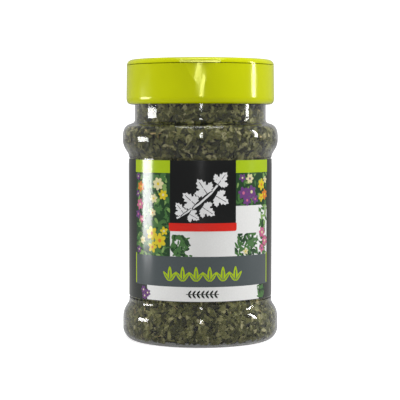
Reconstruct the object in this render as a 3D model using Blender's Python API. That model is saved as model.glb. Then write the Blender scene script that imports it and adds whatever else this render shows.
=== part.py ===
"""Clear spice jar of dried parsley: blown jar, wraparound label, contents, and a screw cap with two hinged flaps.

Frame: +Z up along the jar's axis, origin at the centre of the base, the front of the label faces -Y.
Run with: blender --background --python part.py
"""

import math

import bmesh
import bpy
from mathutils import Matrix, Vector
from mathutils.geometry import interpolate_bezier

MM = 0.001
GAP = 0.3 * MM  # between pieces that touch
SEGMENTS = 48  # round the jar's axis
STEPS = 5  # points along each curved stretch of an outline

# Jar
BULGE_R = 34.95 * MM
PANEL_R = 32.1 * MM
RECESS_R = 31.75 * MM  # shallow recess that holds the label
NECK_R = 29.45 * MM
STANDING_R = 30.0 * MM  # outer edge of the flat ring that the jar stands on
STANDING_WIDTH = 1.8 * MM
BASE_ARCH = 0.9 * MM  # how far the middle of the base is raised
BASE_CORNER = 5.5 * MM
RECESS_LOW_Z = 19.5 * MM
RECESS_HIGH_Z = 81.7 * MM
RECESS_STEP = 0.3 * MM
RIM_Z = 120.5 * MM
WALL = 0.7 * MM

# Screw thread, right-handed, one turn
PITCH = 4.2 * MM
JAR_THREAD_R = 31.0 * MM
JAR_THREAD_LOW_Z = 113.6 * MM
JAR_THREAD_WIDTH = 1.7 * MM
CAP_THREAD_R = 29.95 * MM
CAP_THREAD_WIDTH = 1.5 * MM
THREAD_ROOT = 0.3 * MM  # how deep a ridge is rooted in its wall
THREAD_STEPS = 48
THREAD_RUN_OUT = 3  # steps over which a ridge rises at each end

# Label and contents
LABEL_THICKNESS = 0.15 * MM
LABEL_LOW_Z = 20.2 * MM
LABEL_HIGH_Z = 81.3 * MM
FILL_TOP_Z = 111.5 * MM

# Cap
CAP_R = 33.25 * MM
CAP_TOP_R = 33.05 * MM
CAP_BORE_R = 31.3 * MM
CAP_LOW_Z = 105.7 * MM
CAP_HIGH_Z = 125.6 * MM
CAP_SHOULDER = 2.4 * MM
DECK_Z = 123.0 * MM
DECK_THICKNESS = 1.2 * MM
BAR_HALF_WIDTH = 5.0 * MM  # fixed bar across the top, between the two flaps
SIFTER_HOLE_R = 2.5 * MM
SIFTER_PITCH = 7.5 * MM
SIFTER_CENTRE_Y = -16.8 * MM
SPOON_OPENING_R = 26.0 * MM
SPOON_OPENING_START_Y = 7.6 * MM
PLUG_CLEARANCE = 0.4 * MM
PLUG_DEPTH = 1.0 * MM
PLUG_WALL = 1.0 * MM
FINGER_NOTCH_WIDTH = 17.6 * MM
FINGER_NOTCH_HEIGHT = 0.9 * MM
FINGER_NOTCH_DEPTH = 1.6 * MM
SCOOP_R = 40.0 * MM
SCOOP_LENGTH = 9.0 * MM  # height of the scoop on the skirt
SCOOP_TILT = math.radians(8.5)
SCOOP_DEPTH = 1.2 * MM

# Liner ring on the rim
RING_THICKNESS = 0.8 * MM
RING_INNER_R = 27.0 * MM
RING_OUTER_R = 29.4 * MM


def clear_scene():
    for old in list(bpy.data.objects):
        bpy.data.objects.remove(old, do_unlink=True)


def plastic(name, colour, roughness, transmission=0.0):
    made = bpy.data.materials.new(name)
    made.use_nodes = True
    shader = made.node_tree.nodes["Principled BSDF"]
    shader.inputs["Base Color"].default_value = (*colour, 1.0)
    shader.inputs["Roughness"].default_value = roughness
    shader.inputs["Metallic"].default_value = 0.0
    shader.inputs["Transmission Weight"].default_value = transmission
    return made


def as_object(name, mesh_data, surface=None):
    """Make an object from a bmesh, shaded smooth except at its edges."""
    mesh = bpy.data.meshes.new(name)
    mesh_data.to_mesh(mesh)
    mesh_data.free()
    mesh.shade_smooth()
    mesh.set_sharp_from_angle(angle=math.radians(35))
    made = bpy.data.objects.new(name, mesh)
    bpy.context.scene.collection.objects.link(made)
    if surface:
        mesh.materials.append(surface)
    return made


def helper(name, mesh_data):
    """A cutter or an addition, which isn't a piece itself."""
    made = as_object(name, mesh_data)
    made.hide_render = True
    made.display_type = "WIRE"
    return made


def combine(target, other, operation):
    step = target.modifiers.new(f"{operation.lower()} {other.name}", "BOOLEAN")
    step.operation = operation
    step.solver = "EXACT"
    step.object = other


def curve(start, start_handle, end_handle, end):
    """Points of a Bezier stretch of an outline, each (radius, height), without its first point."""
    knots = [Vector((r, z, 0.0)) for r, z in (start, start_handle, end_handle, end)]
    points = interpolate_bezier(*knots, STEPS + 1)
    return [(p.x, p.y) for p in points[1:]]


def turned(outline):
    """Revolve an outline of (radius, height) points, which starts and ends on the axis or closes on itself."""
    shape = bmesh.new()
    corners = [shape.verts.new((r, 0.0, z)) for r, z in outline]
    edges = [shape.edges.new(pair) for pair in zip(corners, corners[1:])]
    if outline[0][0] > 0.0:
        edges.append(shape.edges.new((corners[-1], corners[0])))
    bmesh.ops.spin(
        shape,
        geom=corners + edges,
        cent=(0.0, 0.0, 0.0),
        axis=(0.0, 0.0, 1.0),
        angle=2 * math.pi,
        steps=SEGMENTS,
        use_merge=True,
        use_duplicate=False,
    )
    bmesh.ops.remove_doubles(shape, verts=shape.verts, dist=0.001 * MM)
    bmesh.ops.recalc_face_normals(shape, faces=shape.faces)
    return shape


def moved_in(outline, distance):
    """The outline moved square to itself, towards the axis and away from the base."""
    result = []
    for i, (r, z) in enumerate(outline):
        before = outline[max(i - 1, 0)]
        after = outline[min(i + 1, len(outline) - 1)]
        along = Vector((after[0] - before[0], after[1] - before[1])).normalized()
        result.append((max(r - along.y * distance, 0.0), z + along.x * distance))
    return result


def side_outline():
    """The jar's outer side from the standing ring up to the top of the plain neck."""
    low_crest = (BULGE_R, BASE_CORNER)
    corner_pull = BASE_CORNER * 0.5
    points = [(STANDING_R, 0.0)]
    points += curve(points[-1], (STANDING_R + corner_pull, 0.0), (BULGE_R, BASE_CORNER - corner_pull), low_crest)
    points.append((BULGE_R, 9.6 * MM))
    points += curve(points[-1], (BULGE_R, 15.0 * MM), (PANEL_R, 15.3 * MM), (PANEL_R, 18.3 * MM))
    points.append((PANEL_R, RECESS_LOW_Z - RECESS_STEP))
    points.append((RECESS_R, RECESS_LOW_Z))
    points.append((RECESS_R, RECESS_HIGH_Z))
    points.append((PANEL_R, RECESS_HIGH_Z + RECESS_STEP))
    points += curve(points[-1], (PANEL_R, 84.7 * MM), (BULGE_R, 85.4 * MM), (BULGE_R, 90.6 * MM))
    shoulder_end = (31.2 * MM, 97.1 * MM)
    points += curve(points[-1], (BULGE_R, 94.6 * MM), (33.9 * MM, 96.4 * MM), shoulder_end)
    points += curve(shoulder_end, (30.1 * MM, 97.45 * MM), (NECK_R, 97.8 * MM), (NECK_R, 99.2 * MM))
    return points


def thread_ridge(wall_r, crest_r, width, low_z, inward):
    """One turn of a tapered ridge round the axis, rooted in the wall."""
    root_r = wall_r + (THREAD_ROOT if inward else -THREAD_ROOT)
    shape = bmesh.new()
    rings = []
    for i in range(THREAD_STEPS + 1):
        turn = i / THREAD_STEPS
        rise = min(1.0, (i + 0.4) / THREAD_RUN_OUT, (THREAD_STEPS - i + 0.4) / THREAD_RUN_OUT)
        middle = low_z + PITCH * turn
        top_r = wall_r + (crest_r - wall_r) * rise
        section = [
            (root_r, middle - width / 2),
            (top_r, middle - width / 4),
            (top_r, middle + width / 4),
            (root_r, middle + width / 2),
        ]
        angle = 2 * math.pi * turn
        rings.append([shape.verts.new((r * math.cos(angle), r * math.sin(angle), z)) for r, z in section])
    for low, high in zip(rings, rings[1:]):
        for k in range(4):
            shape.faces.new((low[k], low[(k + 1) % 4], high[(k + 1) % 4], high[k]))
    shape.faces.new(rings[0])
    shape.faces.new(rings[-1])
    bmesh.ops.recalc_face_normals(shape, faces=shape.faces)
    return shape


def block(low, high):
    """A box between two corners."""
    shape = bmesh.new()
    bmesh.ops.create_cube(shape, size=1.0)
    size = [b - a for a, b in zip(low, high)]
    middle = [(a + b) / 2 for a, b in zip(low, high)]
    bmesh.ops.scale(shape, vec=size, verts=shape.verts)
    bmesh.ops.translate(shape, vec=middle, verts=shape.verts)
    return shape


def add_cylinder(shape, radius, centre, low_z, high_z, sides):
    made = bmesh.ops.create_cone(
        shape, cap_ends=True, segments=sides, radius1=radius, radius2=radius, depth=high_z - low_z
    )
    bmesh.ops.translate(shape, vec=(*centre, (low_z + high_z) / 2), verts=made["verts"])


def half_moon(radius, start_y, low_z, high_z):
    """A prism between a straight edge at start_y and an arc about the axis, on the +Y side."""
    shape = bmesh.new()
    half_angle = math.acos(start_y / radius)
    arc_steps = 20
    rim = []
    for i in range(arc_steps + 1):
        angle = math.pi / 2 - half_angle + 2 * half_angle * i / arc_steps
        rim.append(shape.verts.new((radius * math.cos(angle), radius * math.sin(angle), low_z)))
    face = shape.faces.new(rim)
    raised = bmesh.ops.extrude_face_region(shape, geom=[face])
    top = [v for v in raised["geom"] if isinstance(v, bmesh.types.BMVert)]
    bmesh.ops.translate(shape, vec=(0.0, 0.0, high_z - low_z), verts=top)
    bmesh.ops.recalc_face_normals(shape, faces=shape.faces)
    return shape


def sifter_centres():
    """One hole in the middle and six round it."""
    ring = [(SIFTER_PITCH * math.cos(a), SIFTER_PITCH * math.sin(a)) for a in (math.radians(60 * k) for k in range(6))]
    return [(x, SIFTER_CENTRE_Y + y) for x, y in [(0.0, 0.0)] + ring]


def make_jar(clear):
    outside = side_outline()
    inside = moved_in(outside, WALL)
    rim_lip = 0.5 * MM
    bore_r = NECK_R - WALL
    outline = [(0.0, BASE_ARCH), (STANDING_R - 2 * STANDING_WIDTH, BASE_ARCH), (STANDING_R - STANDING_WIDTH, 0.0)]
    outline += outside
    outline += [(NECK_R, RIM_Z - rim_lip), (NECK_R - rim_lip / 2, RIM_Z), (bore_r, RIM_Z)]
    outline += reversed(inside[1:])
    outline += [(STANDING_R - STANDING_WIDTH, WALL), (STANDING_R - 2 * STANDING_WIDTH, BASE_ARCH + WALL)]
    outline.append((0.0, BASE_ARCH + WALL))
    jar = as_object("jar_body", turned(outline), clear)
    ridge = thread_ridge(NECK_R, JAR_THREAD_R, JAR_THREAD_WIDTH, JAR_THREAD_LOW_Z, inward=False)
    combine(jar, helper("jar_thread_ridge", ridge), "UNION")
    return jar


def make_contents(leaf):
    outside = moved_in(side_outline(), WALL + GAP)
    floor_z = BASE_ARCH + WALL + GAP
    outline = [(0.0, floor_z), (STANDING_R - 2 * STANDING_WIDTH, floor_z)]
    outline += [(r, max(z, floor_z)) for r, z in outside[1:]]
    outline += [(outside[-1][0], FILL_TOP_Z), (0.0, FILL_TOP_Z)]
    return as_object("parsley_fill", turned(outline), leaf)


def make_label(paper):
    inner_r = RECESS_R + GAP
    outer_r = inner_r + LABEL_THICKNESS
    outline = [(inner_r, LABEL_LOW_Z), (outer_r, LABEL_LOW_Z), (outer_r, LABEL_HIGH_Z), (inner_r, LABEL_HIGH_Z)]
    return as_object("label", turned(outline), paper)


def cap_outline():
    """The whole cap, with the flaps still part of it."""
    deck_low_z = DECK_Z - DECK_THICKNESS
    foot = (CAP_BORE_R, CAP_LOW_Z)
    outline = [(0.0, deck_low_z), (CAP_BORE_R, deck_low_z), foot]
    outline += curve(foot, (32.4 * MM, CAP_LOW_Z), (CAP_R, 106.6 * MM), (CAP_R, 108.6 * MM))
    outline += cap_top_outline()
    return outline


def cap_top_outline():
    shoulder_z = CAP_HIGH_Z - CAP_SHOULDER
    pull = CAP_SHOULDER * 0.45
    outline = [(CAP_TOP_R, shoulder_z)]
    outline += curve(
        outline[0],
        (CAP_TOP_R, CAP_HIGH_Z - pull),
        (CAP_TOP_R - pull, CAP_HIGH_Z),
        (CAP_TOP_R - CAP_SHOULDER, CAP_HIGH_Z),
    )
    outline.append((0.0, CAP_HIGH_Z))
    return outline


def scoop_cutter():
    """A leaning cylinder that hollows the skirt under a flap's finger notch, on the -Y side."""
    shape = bmesh.new()
    add_cylinder(shape, SCOOP_R, (0.0, 0.0), -SCOOP_LENGTH, 2 * SCOOP_LENGTH, 64)
    lean = Matrix.Rotation(-SCOOP_TILT, 4, "X")
    bmesh.ops.transform(shape, matrix=lean, verts=shape.verts)
    deepest = Vector((0.0, -(CAP_TOP_R - SCOOP_DEPTH) - SCOOP_R / math.cos(SCOOP_TILT), DECK_Z))
    bmesh.ops.translate(shape, vec=deepest, verts=shape.verts)
    return shape


def to_back(shape):
    bmesh.ops.rotate(shape, cent=(0.0, 0.0, 0.0), matrix=Matrix.Rotation(math.pi, 3, "Z"), verts=shape.verts)
    return shape


def make_cap_base(lime):
    cap = as_object("cap_base", turned(cap_outline()), lime)
    reach = 2 * CAP_R
    pocket_front = block((-reach, -reach, DECK_Z), (reach, -BAR_HALF_WIDTH, 2 * CAP_HIGH_Z))
    combine(cap, helper("pocket_front", pocket_front), "DIFFERENCE")
    pocket_back = block((-reach, BAR_HALF_WIDTH, DECK_Z), (reach, reach, 2 * CAP_HIGH_Z))
    combine(cap, helper("pocket_back", pocket_back), "DIFFERENCE")
    combine(cap, helper("scoop_front", scoop_cutter()), "DIFFERENCE")
    combine(cap, helper("scoop_back", to_back(scoop_cutter())), "DIFFERENCE")
    holes = bmesh.new()
    for centre in sifter_centres():
        add_cylinder(holes, SIFTER_HOLE_R, centre, DECK_Z - 3 * DECK_THICKNESS, DECK_Z + DECK_THICKNESS, 20)
    combine(cap, helper("sifter_holes", holes), "DIFFERENCE")
    opening = half_moon(SPOON_OPENING_R, SPOON_OPENING_START_Y, DECK_Z - 3 * DECK_THICKNESS, DECK_Z + DECK_THICKNESS)
    combine(cap, helper("spoon_opening", opening), "DIFFERENCE")
    ridge = thread_ridge(CAP_BORE_R, CAP_THREAD_R, CAP_THREAD_WIDTH, JAR_THREAD_LOW_Z - PITCH / 2, inward=True)
    combine(cap, helper("cap_thread_ridge", ridge), "UNION")
    return cap


def flap_plate():
    """The round top plate of the cap, cut back to the -Y flap."""
    plate = turned([(0.0, DECK_Z + GAP), (CAP_TOP_R, DECK_Z + GAP)] + cap_top_outline()[1:])
    cut = bmesh.ops.bisect_plane(
        plate,
        geom=plate.verts[:] + plate.edges[:] + plate.faces[:],
        plane_co=(0.0, -BAR_HALF_WIDTH - GAP, 0.0),
        plane_no=(0.0, 1.0, 0.0),
        clear_outer=True,
    )
    edges = [e for e in cut["geom_cut"] if isinstance(e, bmesh.types.BMEdge)]
    bmesh.ops.edgenet_fill(plate, edges=edges)
    bmesh.ops.recalc_face_normals(plate, faces=plate.faces)
    return plate


def hinge_point(side):
    return Vector((0.0, side * (BAR_HALF_WIDTH + GAP / 2), CAP_HIGH_Z))


def make_flap(name, side, lime):
    """One flap, with its origin on its hinge line at the top edge of the bar; side is -1 in front and 1 behind."""
    plate = flap_plate()
    notch = block(
        (-FINGER_NOTCH_WIDTH / 2, -2 * CAP_R, 0.0),
        (FINGER_NOTCH_WIDTH / 2, -CAP_TOP_R + FINGER_NOTCH_DEPTH, DECK_Z + GAP + FINGER_NOTCH_HEIGHT),
    )
    plugs = bmesh.new()
    plug_low_z = DECK_Z - PLUG_DEPTH + GAP
    root_z = DECK_Z + GAP + 0.5 * MM
    if side < 0:
        for centre in sifter_centres():
            add_cylinder(plugs, SIFTER_HOLE_R - PLUG_CLEARANCE, centre, plug_low_z, root_z, 16)
    else:
        plate = to_back(plate)
        notch = to_back(notch)
        plugs.free()
        plugs = half_moon(
            SPOON_OPENING_R - PLUG_CLEARANCE, SPOON_OPENING_START_Y + PLUG_CLEARANCE, plug_low_z, root_z
        )
    flap = as_object(name, plate, lime)
    combine(flap, helper(name + "_notch", notch), "DIFFERENCE")
    combine(flap, helper(name + "_plug", plugs), "UNION")
    if side > 0:
        inset = PLUG_CLEARANCE + PLUG_WALL
        hollow = half_moon(
            SPOON_OPENING_R - inset, SPOON_OPENING_START_Y + inset, plug_low_z - MM, DECK_Z + GAP
        )
        combine(flap, helper(name + "_hollow", hollow), "DIFFERENCE")
    bpy.context.view_layer.update()
    origin = hinge_point(side)
    flap.data.transform(Matrix.Translation(-origin))
    flap.location = origin
    return flap


def make_sealing_ring(liner):
    low_z = RIM_Z + GAP
    high_z = low_z + RING_THICKNESS
    outline = [(RING_INNER_R, low_z), (RING_OUTER_R, low_z), (RING_OUTER_R, high_z), (RING_INNER_R, high_z)]
    return as_object("sealing_ring", turned(outline), liner)


def main():
    clear_scene()
    clear = plastic("clear_plastic", (0.93, 0.95, 0.94), 0.05, transmission=1.0)
    paper = plastic("label_paper", (0.06, 0.065, 0.065), 0.35)
    leaf = plastic("dried_leaf", (0.09, 0.10, 0.05), 0.9)
    lime = plastic("lime_plastic", (0.45, 0.50, 0.0), 0.3)
    liner = plastic("liner_foam", (0.85, 0.85, 0.82), 0.8)
    make_jar(clear)
    make_label(paper)
    make_contents(leaf)
    make_sealing_ring(liner)
    make_cap_base(lime)
    make_flap("sifter_flap", -1, lime)
    make_flap("spoon_flap", 1, lime)


main()
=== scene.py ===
import math
import random

import bmesh
import bpy
import numpy as np
from mathutils import Matrix, Vector
from mathutils.geometry import interpolate_bezier


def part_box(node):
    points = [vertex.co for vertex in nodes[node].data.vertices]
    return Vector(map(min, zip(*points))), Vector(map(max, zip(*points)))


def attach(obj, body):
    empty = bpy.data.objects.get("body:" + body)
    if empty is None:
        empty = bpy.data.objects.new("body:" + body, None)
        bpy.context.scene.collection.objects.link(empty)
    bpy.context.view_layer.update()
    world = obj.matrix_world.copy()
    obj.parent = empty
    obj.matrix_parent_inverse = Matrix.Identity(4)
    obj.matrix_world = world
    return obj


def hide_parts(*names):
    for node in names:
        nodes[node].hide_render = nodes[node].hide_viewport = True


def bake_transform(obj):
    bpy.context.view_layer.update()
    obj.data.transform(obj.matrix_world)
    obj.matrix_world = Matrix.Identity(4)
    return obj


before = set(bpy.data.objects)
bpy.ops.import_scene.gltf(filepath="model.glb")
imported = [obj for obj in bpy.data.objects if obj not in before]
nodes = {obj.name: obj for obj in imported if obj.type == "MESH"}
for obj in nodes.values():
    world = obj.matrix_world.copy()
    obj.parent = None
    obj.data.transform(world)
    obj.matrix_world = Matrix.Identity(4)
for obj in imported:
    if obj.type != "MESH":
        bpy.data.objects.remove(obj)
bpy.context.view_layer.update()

mm = 0.001


def finishPiece(name, shape, surfaces, body, replaced=(), smoothAngle=35):
    # a bmesh becomes a piece: welded smooth shading, materials, and the body it rides on
    mesh = bpy.data.meshes.new(name)
    shape.to_mesh(mesh)
    shape.free()
    for surface in surfaces:
        mesh.materials.append(surface)
    mesh.shade_smooth()
    mesh.set_sharp_from_angle(angle=math.radians(smoothAngle))
    piece = bpy.data.objects.new(name, mesh)
    bpy.context.scene.collection.objects.link(piece)
    if body:
        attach(piece, body)
    if replaced:
        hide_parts(*replaced)
    return piece


def curveTo(start, startPull, endPull, end, steps):
    # points of one Bezier stretch of an outline, each (radius, height), without its first point
    knots = [Vector((r, z, 0)) for r, z in (start, startPull, endPull, end)]
    return [(p.x, p.y) for p in interpolate_bezier(*knots, steps + 1)[1:]]


def held(outline, margin=0.25 * mm):
    # adds a point just inside both ends of every long straight, so that smooth shading stays flat along it
    points = [outline[0]]
    for start, end in zip(outline, outline[1:]):
        length = math.dist(start, end)
        if length > 6 * margin:
            for share in (margin / length, 1 - margin / length):
                points.append(tuple(a + (b - a) * share for a, b in zip(start, end)))
        points.append(end)
    return points


def turn(outline, steps):
    # spins an outline of (radius, height) points round the jar's axis
    shape = bmesh.new()
    outline = held(outline)
    corners = [shape.verts.new((r, 0, z)) for r, z in outline]
    edges = [shape.edges.new(pair) for pair in zip(corners, corners[1:])]
    if outline[0][0] > 0:
        edges.append(shape.edges.new((corners[-1], corners[0])))
    bmesh.ops.spin(shape, geom=corners + edges, cent=(0, 0, 0), axis=(0, 0, 1), angle=2 * math.pi,
                   steps=steps, use_merge=True, use_duplicate=False)
    bmesh.ops.remove_doubles(shape, verts=shape.verts, dist=0.001 * mm)
    bmesh.ops.recalc_face_normals(shape, faces=shape.faces)
    return shape


def block(low, high):
    shape = bmesh.new()
    bmesh.ops.create_cube(shape, size=1)
    bmesh.ops.scale(shape, vec=[b - a for a, b in zip(low, high)], verts=shape.verts)
    bmesh.ops.translate(shape, vec=[(a + b) / 2 for a, b in zip(low, high)], verts=shape.verts)
    return shape


def addCylinder(shape, radius, centre, lowZ, highZ, sides):
    made = bmesh.ops.create_cone(shape, cap_ends=True, segments=sides, radius1=radius, radius2=radius,
                                 depth=highZ - lowZ)
    bmesh.ops.translate(shape, vec=(*centre, (lowZ + highZ) / 2), verts=made["verts"])


def cut(piece, other, operation="DIFFERENCE"):
    # applies one Boolean step at once, so that the piece keeps no live cutter
    mesh = bpy.data.meshes.new("cutter")
    other.to_mesh(mesh)
    other.free()
    tool = bpy.data.objects.new("cutter", mesh)
    bpy.context.scene.collection.objects.link(tool)
    step = piece.modifiers.new(operation, "BOOLEAN")
    step.operation = operation
    step.solver = "EXACT"
    step.object = tool
    graph = bpy.context.evaluated_depsgraph_get()
    result = bpy.data.meshes.new_from_object(piece.evaluated_get(graph))
    piece.modifiers.clear()
    old = piece.data
    result.name = old.name
    piece.data = result
    bpy.data.meshes.remove(old)
    bpy.data.objects.remove(tool)
    bpy.data.meshes.remove(mesh)


def softenEdges(piece, width, segments, angle):
    # a live bevel on the edges sharper than angle
    step = piece.modifiers.new("softEdges", "BEVEL")
    step.width = width
    step.segments = segments
    step.limit_method = "ANGLE"
    step.angle_limit = math.radians(angle)
    step.harden_normals = False
    step.use_clamp_overlap = True


def newMaterial(name):
    made = bpy.data.materials.new(name)
    made.use_nodes = True
    tree = made.node_tree
    return made, tree, tree.nodes["Principled BSDF"]


def noise(tree, scale, detail=3, roughness=0.5, stretch=(1, 1, 1)):
    place = tree.nodes.new("ShaderNodeTexCoord")
    mapping = tree.nodes.new("ShaderNodeMapping")
    mapping.inputs["Scale"].default_value = stretch
    pattern = tree.nodes.new("ShaderNodeTexNoise")
    pattern.inputs["Scale"].default_value = scale
    pattern.inputs["Detail"].default_value = detail
    pattern.inputs["Roughness"].default_value = roughness
    tree.links.new(place.outputs["Object"], mapping.inputs["Vector"])
    tree.links.new(mapping.outputs["Vector"], pattern.inputs["Vector"])
    return pattern.outputs["Fac"]


def ramp(tree, source, stops):
    # stops are (position, colour or grey value)
    made = tree.nodes.new("ShaderNodeValToRGB")
    band = made.color_ramp
    while len(band.elements) < len(stops):
        band.elements.new(0.5)
    for element, (place, value) in zip(band.elements, stops):
        element.position = place
        element.color = (*value, 1) if isinstance(value, tuple) else (value, value, value, 1)
    tree.links.new(source, made.inputs["Fac"])
    return made.outputs["Color"]


def bump(tree, shader, height, strength, distance):
    made = tree.nodes.new("ShaderNodeBump")
    made.inputs["Strength"].default_value = strength
    made.inputs["Distance"].default_value = distance
    tree.links.new(height, made.inputs["Height"])
    tree.links.new(made.outputs["Normal"], shader.inputs["Normal"])


def srgb(r, g, b):
    # linear colour from 8-bit display values
    shares = (r / 255, g / 255, b / 255)
    return tuple(c / 12.92 if c <= 0.04045 else ((c + 0.055) / 1.055) ** 2.4 for c in shares)


def shade(colour, factor):
    return tuple(min(1, c * factor) for c in colour)


limeSettings = {
    "colour": srgb(205, 213, 0),
    "mottle": 0.04,  # how far the pigment drifts
    "roughness": 0.13,
    "skinScale": 900,  # fine moulded skin
    "skinHeight": 0.012 * mm,
}


def limePlastic():
    s = limeSettings
    made, tree, shader = newMaterial("limePlastic")
    drift = noise(tree, 55, 2)
    darker, lighter = shade(s["colour"], 1 - s["mottle"]), shade(s["colour"], 1 + s["mottle"])
    colour = ramp(tree, drift, [(0.3, darker), (0.7, lighter)])
    tree.links.new(colour, shader.inputs["Base Color"])
    gloss = ramp(tree, noise(tree, 160, 3), [(0.3, s["roughness"] - 0.03), (0.7, s["roughness"] + 0.04)])
    tree.links.new(gloss, shader.inputs["Roughness"])
    shader.inputs["IOR"].default_value = 1.49
    shader.inputs["Specular Tint"].default_value = (1, 1, 0.35, 1)
    bump(tree, shader, noise(tree, s["skinScale"], 2), 0.12, s["skinHeight"])
    return made


clearSettings = {
    "tint": (0.94, 0.945, 0.93),
    "ior": 1.35,
    "roughness": 0.03,
    "wave": 0.06 * mm,  # height of the slow ripples that blowing leaves
}


def clearPlastic():
    # glass-like wall; lamps shine straight through it, so that what it holds is lit
    s = clearSettings
    made, tree, shader = newMaterial("clearPlastic")
    shader.inputs["Base Color"].default_value = (*s["tint"], 1)
    shader.inputs["Transmission Weight"].default_value = 1
    shader.inputs["IOR"].default_value = s["ior"]
    shader.inputs["Roughness"].default_value = s["roughness"]
    bump(tree, shader, noise(tree, 55, 1), 0.2, s["wave"])
    seeThrough = tree.nodes.new("ShaderNodeBsdfTransparent")
    seeThrough.inputs["Color"].default_value = (0.93, 0.93, 0.93, 1)
    path = tree.nodes.new("ShaderNodeLightPath")
    mix = tree.nodes.new("ShaderNodeMixShader")
    tree.links.new(path.outputs["Is Shadow Ray"], mix.inputs["Fac"])
    tree.links.new(shader.outputs["BSDF"], mix.inputs[1])
    tree.links.new(seeThrough.outputs["BSDF"], mix.inputs[2])
    tree.links.new(mix.outputs["Shader"], tree.nodes["Material Output"].inputs["Surface"])
    return made


def leafMaterial(name, stops, roughness=0.75):
    # dried leaf: each flake's own tone picks a colour, and blotches break it up
    made, tree, shader = newMaterial(name)
    tone = tree.nodes.new("ShaderNodeAttribute")
    tone.attribute_name = "leafTone"
    base = ramp(tree, tone.outputs["Fac"], stops)
    blotch = ramp(tree, noise(tree, 900, 4, 0.65), [(0.3, 0.5), (0.7, 1.4)])
    mix = tree.nodes.new("ShaderNodeMix")
    mix.data_type = "RGBA"
    mix.blend_type = "MULTIPLY"
    mix.inputs["Factor"].default_value = 1
    tree.links.new(base, mix.inputs["A"])
    tree.links.new(blotch, mix.inputs["B"])
    tree.links.new(mix.outputs["Result"], shader.inputs["Base Color"])
    shader.inputs["Roughness"].default_value = roughness
    shader.inputs["Specular IOR Level"].default_value = 0.3
    bump(tree, shader, noise(tree, 1600, 3, 0.6), 0.5, 0.08 * mm)
    return made


def inkMaterial(name, colour, roughness=0.14):
    # glossy print on label film, with the faint unevenness of a printed solid
    made, tree, shader = newMaterial(name)
    print_ = noise(tree, 1400, 3, 0.6)
    tint = ramp(tree, print_, [(0.3, shade(colour, 0.97)), (0.7, shade(colour, 1.03))])
    tree.links.new(tint, shader.inputs["Base Color"])
    shader.inputs["Roughness"].default_value = roughness
    shader.inputs["IOR"].default_value = 1.5
    bump(tree, shader, noise(tree, 90, 2), 0.25, 0.03 * mm)
    return made


def linerMaterial():
    made, tree, shader = newMaterial("linerFoam")
    cells = noise(tree, 2500, 2)
    tree.links.new(ramp(tree, cells, [(0.3, 0.72), (0.7, 0.84)]), shader.inputs["Base Color"])
    shader.inputs["Roughness"].default_value = 0.8
    bump(tree, shader, cells, 0.4, 0.05 * mm)
    return made


jar = {
    "steps": 160,  # round the axis
    "curveSteps": 12,
    "bulgeR": 34.95 * mm,
    "panelR": 32.1 * mm,
    "recessR": 31.75 * mm,  # shallow step that holds the label
    "recessZ": (19.5 * mm, 81.7 * mm),
    "recessStep": 0.3 * mm,
    "neckR": 29.45 * mm,
    "standR": 30 * mm,
    "standWidth": 1.8 * mm,
    "arch": 0.9 * mm,
    "corner": 5.5 * mm,
    "wall": 0.7 * mm,
    "rimZ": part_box("jar_body")[1][2],
    "threadR": 31.0 * mm,
    "threadLowZ": 113.6 * mm,
    "threadWidth": 1.7 * mm,
    "pitch": 4.2 * mm,
    "threadRoot": 0.3 * mm,  # how far the ridge reaches into the wall
}


def jarSide():
    # the outer side from the standing ring up to the plain neck
    n = jar["curveSteps"]
    wide, panel, neck, stand, corner = (jar[k] for k in ("bulgeR", "panelR", "neckR", "standR", "corner"))
    (recessLow, recessHigh), step = jar["recessZ"], jar["recessStep"]
    pull = corner * 0.5
    points = [(stand, 0)]
    points += curveTo(points[-1], (stand + pull, 0), (wide, corner - pull), (wide, corner), n)
    points.append((wide, 9.6 * mm))
    points += curveTo(points[-1], (wide, 15 * mm), (panel, 15.3 * mm), (panel, 18.3 * mm), n)
    points += [(panel, recessLow - step), (jar["recessR"], recessLow)]
    points += [(jar["recessR"], recessHigh), (panel, recessHigh + step)]
    points += curveTo(points[-1], (panel, 84.7 * mm), (wide, 85.4 * mm), (wide, 90.6 * mm), n)
    points += curveTo(points[-1], (wide, 94.6 * mm), (33.9 * mm, 96.4 * mm), (31.2 * mm, 97.1 * mm), n)
    points += curveTo(points[-1], (30.1 * mm, 97.45 * mm), (neck, 97.8 * mm), (neck, 99.2 * mm), n // 2)
    return points


def movedIn(outline, distance):
    # an outline moved square to itself, into the jar
    moved = []
    for i, (r, z) in enumerate(outline):
        before, after = outline[max(i - 1, 0)], outline[min(i + 1, len(outline) - 1)]
        along = Vector((after[0] - before[0], after[1] - before[1])).normalized()
        moved.append((max(r - along.y * distance, 0), z + along.x * distance))
    return moved


def threadRidge(wallR, crestR, width, lowZ, root, steps=144, runOut=9):
    # one turn of a tapered ridge; root is how far it reaches into its wall
    shape = bmesh.new()
    rings = []
    for i in range(steps + 1):
        rise = min(1, (i + 0.4) / runOut, (steps - i + 0.4) / runOut)
        middle = lowZ + jar["pitch"] * i / steps
        top = wallR + (crestR - wallR) * rise
        angle = 2 * math.pi * i / steps
        foot = wallR + root
        section = [(foot, -width / 2), (top, -width / 4), (top, width / 4), (foot, width / 2)]
        across, along = math.cos(angle), math.sin(angle)
        rings.append([shape.verts.new((r * across, r * along, middle + h)) for r, h in section])
    for low, high in zip(rings, rings[1:]):
        for k in range(4):
            shape.faces.new((low[k], low[(k + 1) % 4], high[(k + 1) % 4], high[k]))
    shape.faces.new(rings[0])
    shape.faces.new(rings[-1])
    bmesh.ops.recalc_face_normals(shape, faces=shape.faces)
    return shape


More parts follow.
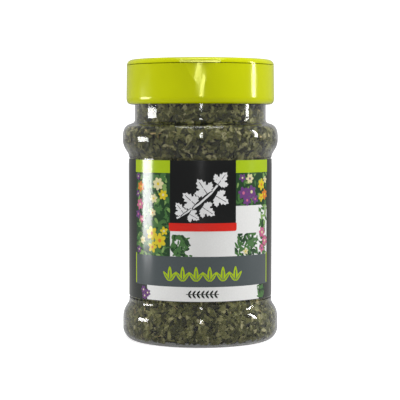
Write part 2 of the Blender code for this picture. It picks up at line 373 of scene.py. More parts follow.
def makeJar(clear):
    outside = jarSide()
    inside = movedIn(outside, jar["wall"])
    stand, width, arch, wall, rimZ = (jar[k] for k in ("standR", "standWidth", "arch", "wall", "rimZ"))
    bore = jar["neckR"] - wall
    outline = [(0, arch), (stand - 2 * width, arch), (stand - width, 0)] + outside
    outline += [(jar["neckR"], rimZ - 0.5 * mm), (jar["neckR"] - 0.25 * mm, rimZ), (bore, rimZ)]
    outline += list(reversed(inside[1:]))
    outline += [(stand - width, wall), (stand - 2 * width, arch + wall), (0, arch + wall)]
    shape = turn(outline, jar["steps"])
    shell = finishPiece("jarShell", shape, [clear], "jar", ["jar_body"])
    ridge = threadRidge(jar["neckR"], jar["threadR"], jar["threadWidth"], jar["threadLowZ"],
                        -jar["threadRoot"])
    cut(shell, ridge, "UNION")
    shell.data.shade_smooth()
    shell.data.set_sharp_from_angle(angle=math.radians(35))
    print("jar shell:", len(shell.data.polygons), "faces")
    return shell


parsley = {
    "seed": 12,
    "gap": 0.05 * mm,  # between the flakes and the wall
    "topZ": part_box("parsley_fill")[1][2],
    "coreInset": 1.5 * mm,
    "flakeLength": (1.6 * mm, 4.4 * mm),
    "bands": {  # along the wall: lowest and highest flake, and how many
        "parsleyFoot": (1.5 * mm, 12 * mm, 1900),
        "parsleyLow": (11.5 * mm, 22 * mm, 1900),
        "parsleyShoulder": (79 * mm, 93.5 * mm, 2100),
        "parsleyNeck": (93 * mm, 107.5 * mm, 1900),
    },
    "baseR": 30 * mm,
    "baseCount": 1500,
    "topR": 28 * mm,
    "topCount": 1900,
    "stemShare": 0.014,
    "kinds": 9,
}


def leafFlake(rng):
    # one torn, curled piece of leaf about one unit long, as a closed thin sheet
    shape = bmesh.new()
    bmesh.ops.create_grid(shape, x_segments=4, y_segments=2, size=0.5)
    width = rng.uniform(0.45, 0.85)
    notch = [rng.uniform(0.55, 1.15) for _ in range(5)]
    curl = rng.uniform(-0.9, 0.9)
    fold = rng.uniform(0.1, 0.7) * rng.choice((-1, 1))
    twist = rng.uniform(-0.5, 0.5)
    for v in shape.verts:
        x, y = v.co.x, v.co.y
        column = round((x + 0.5) * 4)
        taper = (1 - abs(x * 1.6) ** 2.2) * notch[column]
        y = y * width * max(taper, 0.12) + 0.08 * (notch[column] - 0.85)
        x = x * (1 + 0.15 * rng.uniform(-1, 1))
        height = curl * x * x * 0.55 + fold * abs(y) * 0.7 + twist * x * y + rng.uniform(-0.035, 0.035)
        v.co = (x, y, height)
    bmesh.ops.solidify(shape, geom=shape.faces[:], thickness=0.045)
    bmesh.ops.recalc_face_normals(shape, faces=shape.faces)
    return shape


def stemBit(rng):
    # a broken piece of stalk, one unit long
    shape = bmesh.new()
    bmesh.ops.create_cone(shape, cap_ends=True, segments=5, radius1=0.055, radius2=0.04, depth=1)
    bmesh.ops.rotate(shape, cent=(0, 0, 0), matrix=Matrix.Rotation(math.pi / 2, 3, "Y"), verts=shape.verts)
    lengthwise = [e for e in shape.edges if abs(e.verts[0].co.x - e.verts[1].co.x) > 0.5]
    bmesh.ops.subdivide_edges(shape, edges=lengthwise, cuts=3)
    bend = rng.uniform(-0.4, 0.4)
    for v in shape.verts:
        v.co.y += bend * v.co.x * v.co.x
        v.co.z += rng.uniform(-0.01, 0.01)
    return shape


def asMesh(shape, name):
    mesh = bpy.data.meshes.new(name)
    shape.to_mesh(mesh)
    shape.free()
    return mesh


def scatterFlakes(name, count, rng, kinds, place, surface, limit):
    # place(rng) gives a spot, the way its flake faces and how far it may tilt; limit keeps points inside
    pile = bmesh.new()
    tones, sizes = [], []
    for _ in range(count):
        isStem = rng.random() < parsley["stemShare"]
        kind = rng.choice(kinds["stem"] if isStem else kinds["leaf"])
        spot, facing, tilt = place(rng)
        length = rng.uniform(3, 6) * mm if isStem else rng.triangular(*parsley["flakeLength"])
        lean = Matrix.Rotation(rng.gauss(0, tilt), 4, "X") @ Matrix.Rotation(rng.gauss(0, tilt), 4, "Y")
        spin = Matrix.Rotation(rng.uniform(0, 2 * math.pi), 4, "Z")
        turned = facing.to_track_quat("Z", "Y").to_matrix().to_4x4()
        move = Matrix.Translation(spot) @ turned @ lean @ spin @ Matrix.Scale(length, 4)
        kind.transform(move)
        pile.from_mesh(kind)
        kind.transform(move.inverted())
        sizes.append(len(kind.vertices))
        tones.append(rng.uniform(0.86, 1) if isStem else rng.betavariate(1.7, 1.8) * 0.86)
    pile.normal_update()
    piece = finishPiece(name, pile, [surface], "jar", ["parsley_fill"], smoothAngle=50)
    mesh = piece.data
    co = np.empty(len(mesh.vertices) * 3)
    mesh.vertices.foreach_get("co", co)
    mesh.vertices.foreach_set("co", limit(co.reshape(-1, 3)).ravel())
    tone = mesh.attributes.new("leafTone", "FLOAT", "POINT")
    tone.data.foreach_set("value", np.repeat(tones, sizes).astype(np.float32))
    mesh.update()
    print(name + ":", count, "flakes,", sum(len(p.vertices) - 2 for p in mesh.polygons), "triangles")
    return piece


def makeParsley():
    rng = random.Random(parsley["seed"])
    leafStops = [(0.0, srgb(18, 18, 6)), (0.25, srgb(56, 57, 24)), (0.5, srgb(90, 90, 46)),
                 (0.7, srgb(122, 120, 74)), (0.84, srgb(158, 152, 112)), (0.9, srgb(146, 124, 72)),
                 (1.0, srgb(188, 166, 118))]
    leaf = leafMaterial("driedLeaf", leafStops)
    kinds = {
        "leaf": [asMesh(leafFlake(rng), "flake") for _ in range(parsley["kinds"])],
        "stem": [asMesh(stemBit(rng), "stem") for _ in range(3)],
    }
    wallLine = movedIn(jarSide(), jar["wall"] + parsley["gap"])
    wallR, wallZ = np.array([r for r, z in wallLine]), np.array([z for r, z in wallLine])
    floorZ = jar["arch"] + jar["wall"] + parsley["gap"]

    def insideOnly(co):
        # presses what would stick through the wall flat against its inner side
        top = np.minimum(co[:, 2], parsley["topZ"])
        co[:, 2] = np.maximum(top, floorZ)
        r = np.hypot(co[:, 0], co[:, 1])
        most = np.interp(co[:, 2], wallZ, wallR)
        over = r > most
        co[over, :2] *= (most[over] / r[over])[:, None]
        return co

    def onWall(lowZ, highZ):
        def place(rng):
            z = rng.uniform(lowZ, highZ)
            angle = rng.uniform(0, 2 * math.pi)
            r = float(np.interp(z, wallZ, wallR))
            above, below = (float(np.interp(z + step, wallZ, wallR)) for step in (mm, -mm))
            slope = (above - below) / (2 * mm)
            out = Vector((math.cos(angle), math.sin(angle), -slope)).normalized()
            depth = rng.uniform(0.1, 1.5) * mm
            return Vector((r * math.cos(angle), r * math.sin(angle), z)) - out * depth, out, 0.33
        return place

    def onDisc(z, radius, facing):
        def place(rng):
            angle = rng.uniform(0, 2 * math.pi)
            r = radius * math.sqrt(rng.random())
            depth = rng.uniform(0.2, 1.5) * mm
            return Vector((r * math.cos(angle), r * math.sin(angle), z)) - facing * depth, facing, 0.3
        return place

    down, up = Vector((0, 0, -1)), Vector((0, 0, 1))
    for name, (low, high, count) in parsley["bands"].items():
        scatterFlakes(name, count, rng, kinds, onWall(low, high), leaf, insideOnly)
    floorDisc, topDisc = onDisc(floorZ, parsley["baseR"], down), onDisc(parsley["topZ"], parsley["topR"], up)
    scatterFlakes("parsleyFloor", parsley["baseCount"], rng, kinds, floorDisc, leaf, insideOnly)
    scatterFlakes("parsleyTop", parsley["topCount"], rng, kinds, topDisc, leaf, insideOnly)
    # what lies behind the outer flakes is one lumpy heap, coloured near-black: painted shade for the gaps
    # between the flakes
    side = movedIn(jarSide(), jar["wall"] + parsley["coreInset"])
    topZ = parsley["topZ"] - parsley["coreInset"]
    lowZ = floorZ + parsley["coreInset"]
    outline = [(0, lowZ)] + [(r, max(z, lowZ)) for r, z in side if z > lowZ - mm]
    outline += [(side[-1][0], topZ), (0, topZ)]
    # painted shade: the heap's near-black colour stands for the shade deep between the flakes
    core = leafMaterial("heapPaintedShade", [(0, srgb(14, 15, 5)), (1, srgb(20, 20, 8))])
    finishPiece("parsleyHeap", turn(outline, 96), [core], "jar", ["parsley_fill"])
    for kind in kinds["leaf"] + kinds["stem"]:
        bpy.data.meshes.remove(kind)


cap = {
    "steps": 160,
    "r": 33.25 * mm,
    "topR": 33.05 * mm,
    "boreR": 31.3 * mm,
    "lowZ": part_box("cap_base")[0][2],
    "highZ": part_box("cap_base")[1][2],
    "shoulder": 2.4 * mm,
    "deckZ": 123 * mm,
    "deck": 1.2 * mm,
    "gap": 0.3 * mm,
    "barHalf": 5 * mm,
    "holeR": 2.5 * mm,
    "holePitch": 7.5 * mm,
    "holeCentreY": -16.8 * mm,
    "spoonR": 26 * mm,
    "spoonStartY": 7.6 * mm,
    "plugClear": 0.4 * mm,
    "plugDepth": 0.7 * mm,
    "plugWall": 1 * mm,
    "notchWidth": 17.6 * mm,
    "notchHeight": 0.9 * mm,
    "notchDepth": 1.6 * mm,
    "scoopR": 40 * mm,
    "scoopLength": 9 * mm,
    "scoopTilt": math.radians(8.5),
    "scoopDepth": 1.2 * mm,
    "threadR": 29.95 * mm,
    "threadWidth": 1.5 * mm,
    "threadRoot": 0.3 * mm,  # how far the ridge reaches into the wall
}


def capTopOutline():
    pull = cap["shoulder"] * 0.45
    start = (cap["topR"], cap["highZ"] - cap["shoulder"])
    outline = [start]
    outline += curveTo(start, (cap["topR"], cap["highZ"] - pull), (cap["topR"] - pull, cap["highZ"]),
                       (cap["topR"] - cap["shoulder"], cap["highZ"]), 16)
    outline.append((0, cap["highZ"]))
    return outline


def capOutline():
    deckLow = cap["deckZ"] - cap["deck"]
    foot = (cap["boreR"], cap["lowZ"])
    outline = [(0, deckLow), (cap["boreR"], deckLow), foot]
    outline += curveTo(foot, (32.4 * mm, cap["lowZ"]), (cap["r"], 106.6 * mm), (cap["r"], 108.6 * mm), 16)
    return outline + capTopOutline()


def scoopCutter():
    shape = bmesh.new()
    addCylinder(shape, cap["scoopR"], (0, 0), -cap["scoopLength"], 2 * cap["scoopLength"], 160)
    bmesh.ops.transform(shape, matrix=Matrix.Rotation(-cap["scoopTilt"], 4, "X"), verts=shape.verts)
    y = -(cap["topR"] - cap["scoopDepth"]) - cap["scoopR"] / math.cos(cap["scoopTilt"])
    bmesh.ops.translate(shape, vec=(0, y, cap["deckZ"]), verts=shape.verts)
    return shape


def toBack(shape):
    bmesh.ops.rotate(shape, cent=(0, 0, 0), matrix=Matrix.Rotation(math.pi, 3, "Z"), verts=shape.verts)
    return shape


def halfMoon(radius, startY, lowZ, highZ, arcSteps=48):
    # a prism between a straight edge and an arc round the axis, on the +Y side
    shape = bmesh.new()
    half = math.acos(startY / radius)
    rim = []
    for i in range(arcSteps + 1):
        angle = math.pi / 2 - half + 2 * half * i / arcSteps
        rim.append(shape.verts.new((radius * math.cos(angle), radius * math.sin(angle), lowZ)))
    raised = bmesh.ops.extrude_face_region(shape, geom=[shape.faces.new(rim)])
    top = [v for v in raised["geom"] if isinstance(v, bmesh.types.BMVert)]
    bmesh.ops.translate(shape, vec=(0, 0, highZ - lowZ), verts=top)
    bmesh.ops.recalc_face_normals(shape, faces=shape.faces)
    return shape


def holeCentres():
    pitch, turns = cap["holePitch"], [math.radians(60 * k) for k in range(6)]
    ring = [(pitch * math.cos(a), pitch * math.sin(a)) for a in turns]
    return [(x, cap["holeCentreY"] + y) for x, y in [(0, 0)] + ring]


def makeCapBase(lime):
    shape = turn(capOutline(), cap["steps"])
    base = finishPiece("capBase", shape, [lime], "cap", ["cap_base"])
    reach = 2 * cap["r"]
    cut(base, block((-reach, -reach, cap["deckZ"]), (reach, -cap["barHalf"], 2 * cap["highZ"])))
    cut(base, block((-reach, cap["barHalf"], cap["deckZ"]), (reach, reach, 2 * cap["highZ"])))
    cut(base, scoopCutter())
    cut(base, toBack(scoopCutter()))
    holes = bmesh.new()
    under, over = cap["deckZ"] - 3 * cap["deck"], cap["deckZ"] + cap["deck"]
    for centre in holeCentres():
        addCylinder(holes, cap["holeR"], centre, under, over, 40)
    cut(base, holes)
    cut(base, halfMoon(cap["spoonR"], cap["spoonStartY"], under, over))
    threadZ = jar["threadLowZ"] - jar["pitch"] / 2  # runs half way between the jar's turns
    ridge = threadRidge(cap["boreR"], cap["threadR"], cap["threadWidth"], threadZ, cap["threadRoot"])
    cut(base, ridge, "UNION")
    base.data.shade_smooth()
    base.data.set_sharp_from_angle(angle=math.radians(9))
    softenEdges(base, 0.16 * mm, 2, 32)
    print("cap base:", len(base.data.polygons), "faces")
    return base


def makeFlap(name, side, lime, body, node):
    # side is -1 for the sifter flap in front and 1 for the spoon flap behind
    low = cap["deckZ"] + cap["gap"]
    plate = turn([(0, low), (cap["topR"], low)] + capTopOutline()[1:], cap["steps"])
    split = bmesh.ops.bisect_plane(plate, geom=plate.verts[:] + plate.edges[:] + plate.faces[:],
                                   plane_co=(0, -cap["barHalf"] - cap["gap"], 0), plane_no=(0, 1, 0),
                                   clear_outer=True)
    bmesh.ops.edgenet_fill(plate, edges=[e for e in split["geom_cut"] if isinstance(e, bmesh.types.BMEdge)])
    bmesh.ops.recalc_face_normals(plate, faces=plate.faces)
    notch = block((-cap["notchWidth"] / 2, -2 * cap["r"], 0),
                  (cap["notchWidth"] / 2, -cap["topR"] + cap["notchDepth"], low + cap["notchHeight"]))
    plugLow, plugHigh = cap["deckZ"] - cap["plugDepth"], low + 0.5 * mm
    if side < 0:
        plugs = bmesh.new()
        for centre in holeCentres():
            addCylinder(plugs, cap["holeR"] - cap["plugClear"], centre, plugLow, plugHigh, 32)
    else:
        plate, notch = toBack(plate), toBack(notch)
        plugR, plugY = cap["spoonR"] - cap["plugClear"], cap["spoonStartY"] + cap["plugClear"]
        plugs = halfMoon(plugR, plugY, plugLow, plugHigh)
    flap = finishPiece(name, plate, [lime], body, [node])
    cut(flap, notch)
    cut(flap, plugs, "UNION")
    if side > 0:
        inset = cap["plugClear"] + cap["plugWall"]
        cut(flap, halfMoon(cap["spoonR"] - inset, cap["spoonStartY"] + inset, plugLow - mm, low))
    flap.data.shade_smooth()
    flap.data.set_sharp_from_angle(angle=math.radians(32))
    softenEdges(flap, 0.16 * mm, 2, 32)
    print(name + ":", len(flap.data.polygons), "faces")
    return flap


def makeWeb(name, side, lime, node):
    # the thin moulded skin that joins the bar to a flap, cut across along its middle
    front, back = cap["barHalf"] - 0.1 * mm, cap["barHalf"] + cap["gap"] + 0.1 * mm
    half = math.sqrt((cap["topR"] - cap["shoulder"]) ** 2 - back ** 2)
    web = block((-half, front, cap["highZ"] - 0.28 * mm), (half, back, cap["highZ"] - 0.02 * mm))
    bmesh.ops.bisect_plane(web, geom=web.verts[:] + web.edges[:] + web.faces[:],
                           plane_co=(0, cap["barHalf"] + cap["gap"] / 2, 0), plane_no=(0, 1, 0))
    if side < 0:
        toBack(web)
    piece = finishPiece(name, web, [lime], None, smoothAngle=60)
    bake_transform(piece)
    return piece


label = {
    "r": 32.05 * mm,
    "thickness": 0.15 * mm,
    "lowZ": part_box("label")[0][2],
    "highZ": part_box("label")[1][2],
    "steps": 192,
    "turn": math.radians(1.7),  # the front panel's middle, round from -Y towards +X
    "ink": 0.012 * mm,  # lift of each printed layer
    "sink": 0.006 * mm,  # each plate starts a hair inside the sheet
    "cutStep": 1.1 * mm,  # how often a wide shape is cut so that it follows the curve
    "reach": 105 * mm,  # half the way round, and a little
    "seed": 5,
    # edges of the printed areas: along the curve from the panel's middle, then height
    "panel": (-34.9, 35.8),
    "block": (-14.45, 15.1, 54.2, 81.25),
    "redStrip": (-14.95, 15.4, 50.7, 54.2),
    "limePatchZ": (75.8, 81.25),
    "band": (26.6, 39.75),
    "stripe": (-27.0, 28.8, 20.3, 26.6),
    "limeLineZ": (27.0, 40.4),
    "limeLineWidth": 0.8,
    "seamTurn": math.radians(176),  # middle of the overlap, behind
    "edgeWidth": 0.12,  # the pale cut edge beside the seam
    "seamWidth": 7.0,
    "seamThickness": 0.08,
}


def box2d(x0, x1, z0, z1, rounding=0):
    # corners anticlockwise; rounding trims the two lower ones
    if not rounding:
        return [(x0, z0), (x1, z0), (x1, z1), (x0, z1)]
    points = []
    for cx, start in ((x0 + rounding, 180), (x1 - rounding, 270)):
        for k in range(5):
            angle = math.radians(start + 22.5 * k)
            points.append((cx + rounding * math.cos(angle), z0 + rounding + rounding * math.sin(angle)))
    return points + [(x1, z1), (x0, z1)]


def petal(length, width, points=10, tip=0.0):
    # an oval from the origin along +x; tip above 0 draws its far end to a point
    outline = []
    for k in range(points):
        angle = 2 * math.pi * k / points
        along = 0.5 - 0.5 * math.cos(angle)
        across = math.sin(angle) * (1 - tip * along)
        outline.append((length * along, -width / 2 * across))
    return outline


def placed(outline, x, z, angle=0.0, size=1.0):
    c, s = math.cos(angle), math.sin(angle)
    return [(x + size * (c * u - s * v), z + size * (s * u + c * v)) for u, v in outline]


class Printer:
    # gathers flat shapes by ink, then lays them round the label as thin raised plates
    def __init__(self, inks):
        self.inks = inks
        self.names = list(inks)
        self.shape = bmesh.new()

    def add(self, outline, ink, lift):
        corners = [self.shape.verts.new((u * mm, 0, z * mm)) for u, z in outline]
        face = self.shape.faces.new(corners)
        face.material_index = self.names.index(ink)
        raised = bmesh.ops.extrude_face_region(self.shape, geom=[face])
        top = [v for v in raised["geom"] if isinstance(v, bmesh.types.BMVert)]
        bmesh.ops.translate(self.shape, vec=(0, -lift * label["ink"], 0), verts=top)
        for f in raised["geom"]:
            if isinstance(f, bmesh.types.BMFace):
                f.material_index = self.names.index(ink)
                for side in {g for e in f.edges for g in e.link_faces}:
                    side.material_index = self.names.index(ink)

    def flower(self, x, z, size, ink, heart, lift, petals=5, angle=0.0):
        for k in range(petals):
            way = angle + 2 * math.pi * k / petals
            self.add(placed(petal(1, 0.62), x, z, way, size), ink, lift + 0.05 * k)
        self.add(placed(petal(0.5, 0.5, 8), x - 0.25 * size, z, 0, size), heart, lift + 0.6)

    def leafSprig(self, x, z, size, angle, ink, vein, lift, halo=None):
        # a parsley leaf: three toothed lobes on a short stalk
        for turnBy, length in ((-0.95, 0.72), (0.95, 0.72), (0, 1.0)):
            start = (x - 0.6 * math.cos(angle + turnBy), z - 0.6 * math.sin(angle + turnBy))
            if halo:
                wider = placed(toothedLobe(), *start, angle + turnBy, size * length + 1.2)
                self.add(wider, halo, lift - 0.3)
            self.add(placed(toothedLobe(), x, z, angle + turnBy, size * length), ink, lift)
            lift += 0.05
        if vein:
            self.add(placed(box2d(0, 0.8, -0.02, 0.02), x, z, angle, size), vein, lift + 0.2)

    def finish(self, name):
        cuts = int(label["reach"] / label["cutStep"])
        for k in range(-cuts, cuts + 1):
            whole = self.shape.verts[:] + self.shape.edges[:] + self.shape.faces[:]
            bmesh.ops.bisect_plane(self.shape, geom=whole, plane_co=(k * label["cutStep"], 0, 0),
                                   plane_no=(1, 0, 0), dist=0.0001 * mm)
        bmesh.ops.recalc_face_normals(self.shape, faces=self.shape.faces)
        face = label["r"] + label["thickness"]
        for v in self.shape.verts:
            angle = v.co.x / face + label["turn"]
            r = face - v.co.y - label["sink"]
            v.co = (r * math.sin(angle), -r * math.cos(angle), v.co.z)
        return finishPiece(name, self.shape, list(self.inks.values()), "jar", smoothAngle=20)


def toothedLobe():
    # half outlines of one lobe, with three blunt teeth a side, mirrored about its vein
    upper = [(0.0, 0.0), (0.18, 0.13), (0.36, 0.3), (0.42, 0.2), (0.62, 0.32), (0.66, 0.19), (0.84, 0.2),
             (0.86, 0.1), (1.0, 0.0)]
    return [(u, -v) for u, v in upper] + [(u, v) for u, v in reversed(upper[1:-1])]


def foliage(printer, rng, area, count, inks, size, lift):
    # leaves strewn over an area (x0, x1, z0, z1), each a little higher than the one before
    x0, x1, z0, z1 = area
    for k in range(count):
        length = rng.uniform(*size)
        angle = rng.uniform(0, 2 * math.pi)
        x = rng.uniform(x0, x1) - 0.5 * length * math.cos(angle)
        z = rng.uniform(z0, z1) - 0.5 * length * math.sin(angle)
        x = min(max(x, x0 + 0.5 * length), x1 - 0.5 * length)
        outline = placed(petal(1, rng.uniform(0.42, 0.62), 8, 0.45), x, z, angle, length)
        inside = [(min(max(u, x0), x1), min(max(v, z0), z1)) for u, v in outline]
        printer.add(inside, rng.choice(inks), lift + k * 0.03)


def makeLabel():
    s = label
    inks = {
        "charcoal": inkMaterial("inkCharcoal", srgb(38, 42, 38)),
        "black": inkMaterial("inkBlack", srgb(5, 7, 7)),
        "band": inkMaterial("inkSlate", srgb(78, 86, 88)),
        "lime": inkMaterial("inkLime", srgb(176, 204, 12)),
        "red": inkMaterial("inkRed", srgb(226, 34, 18)),
        "pale": inkMaterial("inkPale", srgb(240, 240, 238)),
        "emblem": inkMaterial("inkSilver", srgb(242, 242, 242)),
        "green": inkMaterial("inkLeafGreen", srgb(74, 118, 62)),
        "darkGreen": inkMaterial("inkDarkGreen", srgb(36, 70, 38)),
        "paleGreen": inkMaterial("inkPaleGreen", srgb(132, 168, 92)),
        "yellow": inkMaterial("inkYellow", srgb(224, 202, 40)),
        "orange": inkMaterial("inkOrange", srgb(222, 132, 44)),
        "purple": inkMaterial("inkPurple", srgb(112, 66, 128)),
        "pink": inkMaterial("inkPink", srgb(206, 108, 146)),
        "cream": inkMaterial("inkCream", srgb(226, 218, 168)),
        "paperEdge": inkMaterial("paperEdge", srgb(150, 150, 144), 0.6),
    }
    inner, outer = s["r"], s["r"] + s["thickness"]
    outline = [(inner, s["lowZ"]), (outer, s["lowZ"]), (outer, s["highZ"]), (inner, s["highZ"])]
    sheet = turn(outline, s["steps"])
    finishPiece("labelSheet", sheet, [inks["charcoal"]], "jar", ["label"])
    rng = random.Random(s["seed"])
    p = Printer(inks)
    left, right = s["panel"]
    blockLeft, blockRight, blockLow, blockHigh = s["block"]
    bandLow, bandHigh = s["band"]
    patchLow, patchHigh = s["limePatchZ"]
    p.add(box2d(left, right, bandHigh, patchLow), "pale", 1)
    p.add(box2d(left - 0.8, blockLeft, patchLow, patchHigh), "lime", 1)
    p.add(box2d(blockRight, right + 0.5, patchLow, patchHigh), "lime", 1)
    p.add(box2d(left, right, bandLow, bandHigh), "band", 1.2)
    p.add(box2d(*s["stripe"]), "pale", 1)
    for edge in (left, right):
        p.add(box2d(edge - s["limeLineWidth"], edge, *s["limeLineZ"]), "lime", 1.6)
    # planting on both sides of the block: leaves first, blossoms over them
    greens = ["green", "darkGreen", "green", "paleGreen", "green"]
    p.add(box2d(left, blockLeft, bandHigh, patchLow), "darkGreen", 1.5)
    foliage(p, rng, (left, blockLeft, bandHigh, patchLow), 210, greens, (2.4, 4.8), 2)
    foliage(p, rng, (blockLeft, -4.4, bandHigh, 49.2), 64, greens[:3], (2, 3.8), 2)
    p.add(box2d(blockRight, right, 61.5, patchLow), "darkGreen", 1.5)
    foliage(p, rng, (blockRight, right, 61.5, patchLow), 60, greens, (2, 4.2), 2)
    foliage(p, rng, (28.5, right, bandHigh, 61.5), 56, greens, (2, 4), 2)
    foliage(p, rng, (14.5, 28.5, bandHigh, 49.5), 80, greens[:3], (2, 3.8), 2)
    blossoms = [
        # along the curve, height, size, ink, heart, petals
        (-33.2, 74.0, 1.5, "purple", "cream", 6), (-31.2, 69.6, 2.2, "orange", "yellow", 6),
        (-33.4, 66.4, 1.5, "purple", "cream", 5), (-31.8, 61.8, 2.3, "pink", "cream", 6),
        (-33.3, 57.4, 1.9, "purple", "pink", 5), (-30.6, 55.4, 1.6, "pink", "cream", 5),
        (-20.4, 71.0, 2.6, "cream", "yellow", 7), (-17.8, 66.3, 2.1, "yellow", "cream", 6),
        (-22.8, 64.6, 1.9, "cream", "yellow", 6), (-23.4, 58.4, 1.6, "cream", "orange", 6),
        (-24.0, 49.4, 2.9, "yellow", "orange", 6), (-19.6, 46.4, 3.0, "yellow", "orange", 6),
        (-23.6, 43.4, 2.3, "yellow", "orange", 5), (-17.4, 50.6, 1.8, "yellow", "cream", 5),
        (-29.8, 46.2, 1.7, "cream", "yellow", 6), (-32.6, 42.0, 1.6, "purple", "cream", 5),
        (18.4, 73.6, 1.7, "purple", "cream", 5), (22.6, 73.2, 2.0, "cream", "purple", 6),
        (19.0, 67.0, 2.6, "purple", "pink", 6), (23.6, 67.4, 2.7, "purple", "cream", 6),
        (21.0, 63.8, 2.2, "purple", "pink", 6), (26.0, 64.2, 1.9, "purple", "pink", 5),
        (30.6, 70.4, 2.4, "yellow", "orange", 6), (33.4, 66.0, 2.2, "orange", "yellow", 6),
        (30.4, 64.8, 1.8, "yellow", "orange", 5), (33.8, 72.4, 1.5, "cream", "yellow", 5),
        (31.2, 49.4, 2.2, "pink", "cream", 6), (33.6, 45.6, 2.2, "pink", "cream", 6),
        (31.0, 42.4, 1.8, "pink", "purple", 5), (20.2, 41.6, 1.4, "cream", "yellow", 5),
    ]
    for k, (x, z, size, ink, heart, petals) in enumerate(blossoms):
        p.flower(x, z, size * 1.12, ink, heart, 9 + 0.2 * (k % 5), petals, rng.uniform(0, math.pi))
    for x, z in ((-29.4, 24.4), (-26.6, 23.2), (-28.6, 21.8)):
        p.flower(x, z, 1.8, "purple", "cream", 8 + 0.1 * (x % 3), 6, x)
    foliage(p, rng, (27.2, 33.5, 20.6, 26.4), 24, greens[:3], (1.8, 3.2), 2)
    # black block with a pale sprig, and the plain red strip below it
    p.add(box2d(*s["block"]), "black", 1.4)
    p.add(box2d(*s["redStrip"], 1.0), "red", 9.5)
    middle = (blockLeft + blockRight) / 2
    stem = [(-11.6, 56.4), (-7.0, 59.0), (-1.8, 62.6), (3.2, 67.0), (6.8, 71.4)]
    for (x0, z0), (x1, z1) in zip(stem, stem[1:]):
        length, angle = math.hypot(x1 - x0, z1 - z0), math.atan2(z1 - z0, x1 - x0)
        stalk = placed(box2d(-0.1, length + 0.1, -0.42, 0.42), middle + x0, z0, angle)
        p.add(stalk, "emblem", 2 + 0.1 * x0 / 10)
    leaves = (  # across, height, size, angle
        (-8.6, 58.6, 5.6, 128), (-6.0, 58.2, 5.0, -30), (-3.6, 62.4, 7.2, 138), (-0.4, 61.2, 6.6, -34),
        (1.6, 67.0, 7.6, 124), (5.4, 66.0, 6.8, -30), (6.4, 71.0, 6.6, 52))
    for k, (x, z, size, angle) in enumerate(leaves):
        p.leafSprig(middle + x, z, size, math.radians(angle), "emblem", "black", 3 + 0.6 * k, "black")
    # a row of lime sprouts along the band, and a small dark sprig on the stripe
    for k in range(6):
        x = -14.6 + 5.9 * k
        for lean, length, width in ((52, 5.2, 0.4), (128, 5.2, 0.4), (90, 6.4, 0.42)):
            blade = placed(petal(1, width, 12, 0.45), x, 29.1, math.radians(lean), length)
            p.add(blade, "lime", 3 + lean * 0.002)
            p.add(placed(box2d(0.1, 0.72, -0.03, 0.03), x, 29.1, math.radians(lean), length), "band", 4)
    p.add(box2d(-7.2, 7.2, 23.28, 23.6), "charcoal", 3)
    for k in range(7):
        for side in (1, -1):
            blade = placed(petal(2.2, 1.1, 8, 0.4), -6.2 + 1.9 * k, 23.44, side * math.radians(52))
            p.add(blade, "charcoal", 3.2)
    # where the sheet's ends overlap, behind, with the cut edge of the paper showing
    seam = (s["seamTurn"] - s["turn"]) * outer / mm
    lift = s["seamThickness"] * mm / s["ink"]
    lowZ, highZ = s["lowZ"] / mm, s["highZ"] / mm
    p.add(box2d(seam - s["seamWidth"] / 2, seam + s["seamWidth"] / 2, lowZ, highZ), "charcoal", lift)
    cutEdge = seam - s["seamWidth"] / 2
    p.add(box2d(cutEdge - s["edgeWidth"], cutEdge, lowZ, highZ), "paperEdge", lift * 0.9)
    printed = p.finish("labelPrint")
    print("label:", len(printed.data.polygons), "faces")


view = {
    "distance": 0.65,
    "pitch": math.radians(3.0),
    "scale": 0.452 * mm,  # per picture point, out of 400
    "aimZ": 62.6 * mm,
    "aimX": -0.15 * mm,
}


def aim(obj, target):
    direction = Vector(target) - obj.location
    obj.rotation_euler = direction.to_track_quat("-Z", "Y").to_euler()


def softLight(name, place, target, width, height, power, colour=(1, 1, 1)):
    data = bpy.data.lights.new(name, "AREA")
    data.shape = "RECTANGLE"
    data.size = width
    data.size_y = height
    data.energy = power
    data.color = colour
    lamp = bpy.data.objects.new(name, data)
    bpy.context.scene.collection.objects.link(lamp)
    lamp.location = place
    aim(lamp, target)
    return lamp


studio = {
    "room": 0.4,  # even fill from all round
    "white": 1.3,  # how bright the background looks
    "floorWhite": 0.806,  # the floor's own glow to look at
    "floorFill": 0.11,  # and what it gives back to the jar
    "lamps": (  # name, place, what it points at, width, height, power
        ("leftPanel", (-0.6, 0.02, 0.0555), (0, 0, 0.0555), 0.22, 0.111, 1.3),
        ("rightStrip", (0.6, -0.015, 0.25), (0, 0, 0.12), 0.07, 0.3, 1.9),
        ("frontTall", (0.02, -0.85, 0.26), (0, 0, 0.12), 0.07, 0.3, 1.25),
        ("overhead", (0, -0.1, 0.9), (0, 0, 0.1), 0.6, 0.4, 4.0),
    ),
}


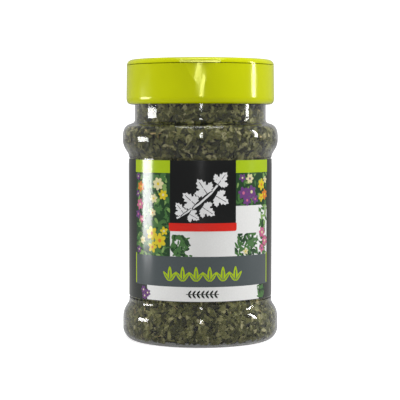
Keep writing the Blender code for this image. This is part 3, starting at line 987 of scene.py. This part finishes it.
def paleSheet(name, low, high):
    # a thin slab for the stage: bright to look at, with a softer glow on what stands on it
    made, tree, shader = newMaterial(name)
    shader.inputs["Base Color"].default_value = (0.35, 0.35, 0.35, 1)
    shader.inputs["Roughness"].default_value = 0.8
    shader.inputs["Specular IOR Level"].default_value = 0
    shader.inputs["Emission Color"].default_value = (1, 1, 1, 1)
    shader.inputs["Emission Strength"].default_value = studio["floorFill"]
    bright = tree.nodes.new("ShaderNodeBsdfPrincipled")
    bright.inputs["Base Color"].default_value = (0.6, 0.6, 0.6, 1)
    bright.inputs["Roughness"].default_value = 0.8
    bright.inputs["Specular IOR Level"].default_value = 0
    bright.inputs["Emission Color"].default_value = (1, 1, 1, 1)
    bright.inputs["Emission Strength"].default_value = studio["floorWhite"]
    path = tree.nodes.new("ShaderNodeLightPath")
    mix = tree.nodes.new("ShaderNodeMixShader")
    tree.links.new(path.outputs["Is Camera Ray"], mix.inputs["Fac"])
    tree.links.new(shader.outputs["BSDF"], mix.inputs[1])
    tree.links.new(bright.outputs["BSDF"], mix.inputs[2])
    tree.links.new(mix.outputs["Shader"], tree.nodes["Material Output"].inputs["Surface"])
    finishPiece(name, block(low, high), [made], None)


def makeStage():
    s = studio
    paleSheet("floor", (-3, -3, -0.01), (3, 3, 0))
    world = bpy.data.worlds.new("studio")
    world.use_nodes = True
    tree = world.node_tree
    back = tree.nodes["Background"]
    back.inputs["Color"].default_value = (1, 1, 1, 1)
    path = tree.nodes.new("ShaderNodeLightPath")
    strength = tree.nodes.new("ShaderNodeMapRange")  # white to look at, softer as a fill
    strength.inputs["To Min"].default_value = s["room"]
    strength.inputs["To Max"].default_value = s["white"]
    tree.links.new(path.outputs["Is Camera Ray"], strength.inputs["Value"])
    tree.links.new(strength.outputs["Result"], back.inputs["Strength"])
    bpy.context.scene.world = world
    for lamp in s["lamps"]:
        softLight(*lamp)


def makeCamera():
    data = bpy.data.cameras.new("camera")
    camera = bpy.data.objects.new("camera", data)
    bpy.context.scene.collection.objects.link(camera)
    d, p = view["distance"], view["pitch"]
    target = Vector((view["aimX"], 0, view["aimZ"]))
    camera.location = target + Vector((0, -d * math.cos(p), d * math.sin(p)))
    aim(camera, target)
    data.sensor_width = 36
    data.lens = 36 * d / (400 * view["scale"])
    data.clip_start = 0.01
    bpy.context.scene.camera = camera


print("scene: start")
bpy.context.scene.view_settings.view_transform = "Standard"
makeCamera()
makeStage()
lime = limePlastic()
clear = clearPlastic()
makeJar(clear)
makeParsley()
makeLabel()
makeCapBase(lime)
makeFlap("sifterFlap", -1, lime, "front_flap", "sifter_flap")
makeFlap("spoonFlap", 1, lime, "rear_flap", "spoon_flap")
makeWeb("sifterWeb", -1, lime, "sifter_flap")
makeWeb("spoonWeb", 1, lime, "spoon_flap")
nodes["sealing_ring"].data.materials.clear()
nodes["sealing_ring"].data.materials.append(linerMaterial())
